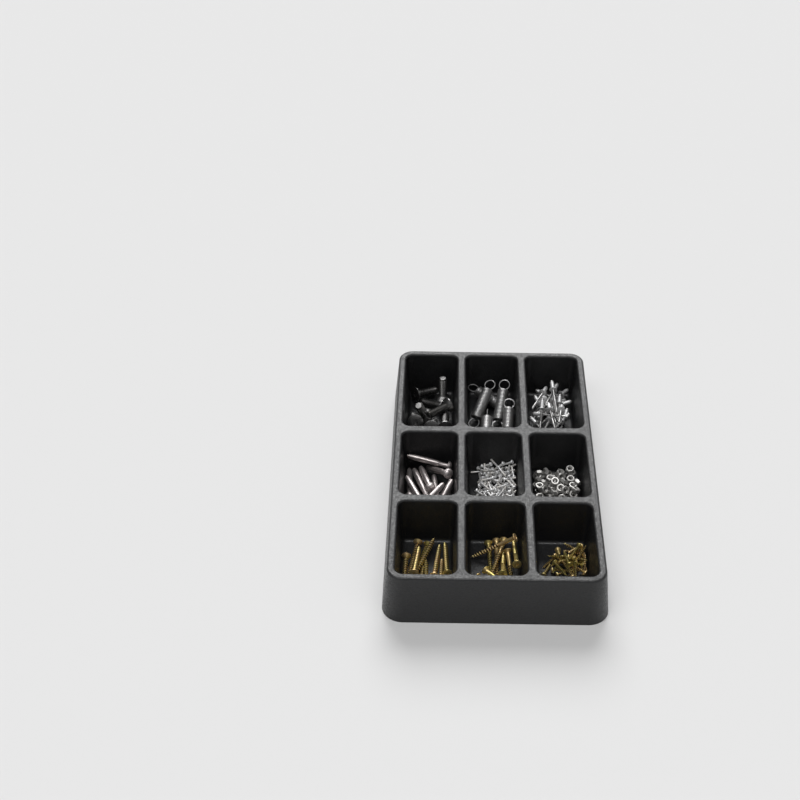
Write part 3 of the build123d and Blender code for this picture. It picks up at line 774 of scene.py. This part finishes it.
def pale_floor():
    bpy.ops.object.select_all(action="DESELECT")
    bpy.ops.mesh.primitive_plane_add(size=12, location=(0, 0, -0.2 * MM))
    floor = bpy.context.object
    floor.name = "floor"
    material, _, shader = new_material("pale floor")
    shader.inputs["Base Color"].default_value = (0.76, 0.76, 0.76, 1)
    shader.inputs["Roughness"].default_value = 0.9
    shader.inputs["Specular IOR Level"].default_value = 0.1
    floor.data.materials.append(material)


def sky():
    """A dim sky that looks pale behind the floor, also where metal mirrors it."""
    world = bpy.data.worlds.new("studio")
    bpy.context.scene.world = world
    world.use_nodes = True
    tree = world.node_tree
    path = shader_node(tree, "ShaderNodeLightPath").outputs
    mirrored = shader_node(tree, "ShaderNodeMath", {0: path["Is Camera Ray"], 1: path["Is Glossy Ray"]},
                           operation="MAXIMUM")
    seen = shader_node(tree, "ShaderNodeMath", {0: mirrored.outputs[0], 1: path["Is Transmission Ray"]},
                       operation="MAXIMUM")
    toward = shader_node(tree, "ShaderNodeTexCoord").outputs["Generated"]
    height = shader_node(tree, "ShaderNodeSeparateXYZ", {"Vector": toward}).outputs["Z"]
    look = mapped(tree, height, (0.1, 0.6), (SKY_BEHIND, SKY_LIGHT))
    strength = mapped(tree, seen.outputs[0], (0.0, 1.0), (SKY_LIGHT, look))
    tree.nodes["Background"].inputs["Color"].default_value = (1, 1, 1, 1)
    tree.links.new(strength, tree.nodes["Background"].inputs["Strength"])


def lamp(name, heading, height, spread, strength):
    """A wide soft light from far away; where it stands, how high and how wide it is are in degrees."""
    light = bpy.data.lights.new(name, "SUN")
    light.angle = math.radians(spread)
    light.energy = strength
    holder = bpy.data.objects.new(name, light)
    bpy.context.scene.collection.objects.link(holder)
    turn, rise = math.radians(heading), math.radians(height)
    away = Vector((math.cos(rise) * math.cos(turn), math.cos(rise) * math.sin(turn), math.sin(rise)))
    holder.rotation_euler = away.to_track_quat("Z", "Y").to_euler()


def studio():
    """Four softboxes; the one behind the tray gives its rim the grey sheen."""
    lamp("back softbox", heading=92, height=42, spread=38, strength=2.1)
    lamp("overhead softbox", heading=250, height=82, spread=24, strength=1.05)
    lamp("front left softbox", heading=215, height=55, spread=30, strength=0.35)
    lamp("front right softbox", heading=320, height=50, spread=30, strength=0.2)


def photo_camera():
    """The camera, where the photograph was taken from."""
    lens = bpy.data.cameras.new("camera")
    lens.lens = CAMERA_LENS
    lens.shift_x = CAMERA_SHIFT
    camera = bpy.data.objects.new("camera", lens)
    bpy.context.scene.collection.objects.link(camera)
    tilt = Matrix.Rotation(math.pi / 2 - CAMERA_DIP, 4, "X") @ Matrix.Rotation(CAMERA_ROLL, 4, "Z")
    camera.matrix_world = Matrix.Translation(CAMERA_PLACE) @ tilt
    bpy.context.scene.camera = camera


finish_tray()
countersunk_bolts()
extension_springs()
rivets()
wall_anchors()
machine_screws()
hex_nuts()
gold = yellow_zinc()
wood_screws("chipboard_screws", gold, pitch=2.6 * MM, steps=16)
wood_screws("shank_screws", gold, pitch=2.5 * MM, steps=16, shank_share=0.36)
wood_screws("short_screws", gold, pitch=1.6 * MM, steps=12)
pale_floor()
sky()
studio()
photo_camera()
bpy.context.scene.view_settings.view_transform = "Standard"
